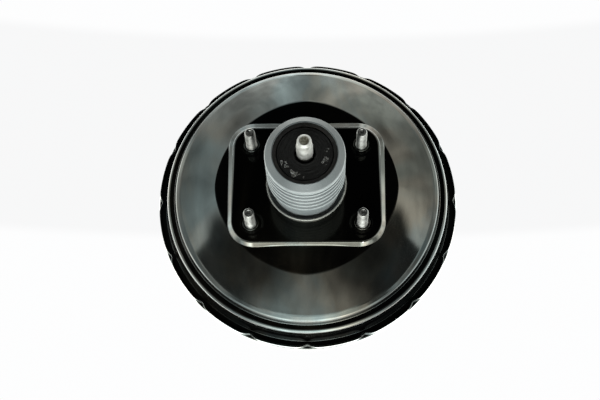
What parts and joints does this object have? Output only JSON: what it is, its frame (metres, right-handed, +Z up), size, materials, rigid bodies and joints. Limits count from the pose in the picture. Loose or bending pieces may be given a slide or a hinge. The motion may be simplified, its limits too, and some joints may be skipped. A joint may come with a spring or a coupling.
{
  "type": "vacuum brake booster",
  "caption": "Single-diaphragm vacuum brake booster: two-part pressed shell with staked rim, bulkhead studs, ribbed dust boot, input push rod and sliding power piston inside.",
  "frame": {"origin": "centre of the bulkhead mounting face, on the booster's axis", "axes": "-Y along the booster's axis towards the brake pedal, +Y towards the master cylinder, +Z up, +X to the right seen from the pedal"},
  "size_m": [0.2328, 0.214, 0.2328],
  "materials": {
    "black_paint": "gloss black",
    "dark_zinc": "dark zinc plate",
    "bare_steel": "oiled pressed steel",
    "white_plastic": "low-friction bush",
    "black_rubber": "moulded rubber",
    "grey_rubber": "grey moulded rubber, dusted",
    "spring_steel": "oil-hardened wire",
    "black_plastic": "glass-filled nylon",
    "phenolic": "glass-filled phenolic",
    "foam": "open-cell foam",
    "felt": "felt",
    "yellow_zinc": "yellow passivated zinc",
    "bright_zinc": "bright zinc plate"
  },
  "bodies": {
    "housing": {"rear_shell": "black_paint", "front_shell": "black_paint", "bulkhead_studs": "dark_zinc", "rear_reinforcement_plate": "bare_steel", "guide_bush": "white_plastic", "rear_lip_seal": "black_rubber", "dust_boot": "grey_rubber", "front_reinforcement_plate": "bare_steel", "master_cylinder_studs": "dark_zinc", "front_seal_cage": "bare_steel", "front_seal": "black_rubber", "front_spring_seat": "bare_steel", "main_return_spring": "spring_steel", "check_valve_grommet": "black_rubber", "check_valve_body": "black_plastic", "check_valve_spring": "spring_steel", "diaphragm": "black_rubber"},
    "power_piston": {"valve_body": "phenolic", "valve_stop_key": "bare_steel", "diaphragm_plate": "bare_steel", "diaphragm_lock_ring": "black_plastic", "poppet_valve": "black_rubber", "poppet_retainer": "bare_steel", "poppet_spring": "spring_steel", "breather_foam": "foam", "silencer_felt": "felt", "filter_retainer": "black_plastic", "reaction_disc": "black_rubber", "output_rod": "yellow_zinc", "output_rod_retainer": "bare_steel", "output_adjuster": "yellow_zinc", "input_return_spring": "spring_steel"},
    "control_valve": {"valve_plunger": "bare_steel"},
    "input_rod": {"input_push_rod": "bright_zinc", "rod_spring_seat": "bare_steel"},
    "check_valve_plate": {"check_valve_disc": "black_rubber"}
  },
  "joints": [
    {"name": "piston_stroke", "type": "slide", "parent": "housing", "child": "power_piston", "axis": [0, 1, 0], "range_m": [0, 0.036], "stiffness_N_per_m": 4000, "springref_m": -0.03, "deforming": ["dust_boot", "diaphragm", "main_return_spring"]},
    {"name": "valve_travel", "type": "slide", "parent": "power_piston", "child": "control_valve", "axis": [0, 1, 0], "range_m": [0, 0.0015], "stiffness_N_per_m": 3000, "springref_m": -0.006, "deforming": ["input_return_spring"]},
    {"name": "input_rod_tilt", "type": "hinge", "parent": "control_valve", "child": "input_rod", "pos_m": [0, -0.002, 0], "axis": [1, 0, 0], "range_deg": [-2, 2], "stiffness_Nm_per_rad": 4},
    {"name": "check_valve_lift", "type": "slide", "parent": "housing", "child": "check_valve_plate", "axis": [0, 1, 0], "range_m": [0, 0.0015], "stiffness_N_per_m": 120, "springref_m": -0.002, "deforming": ["check_valve_spring"]}
  ]
}
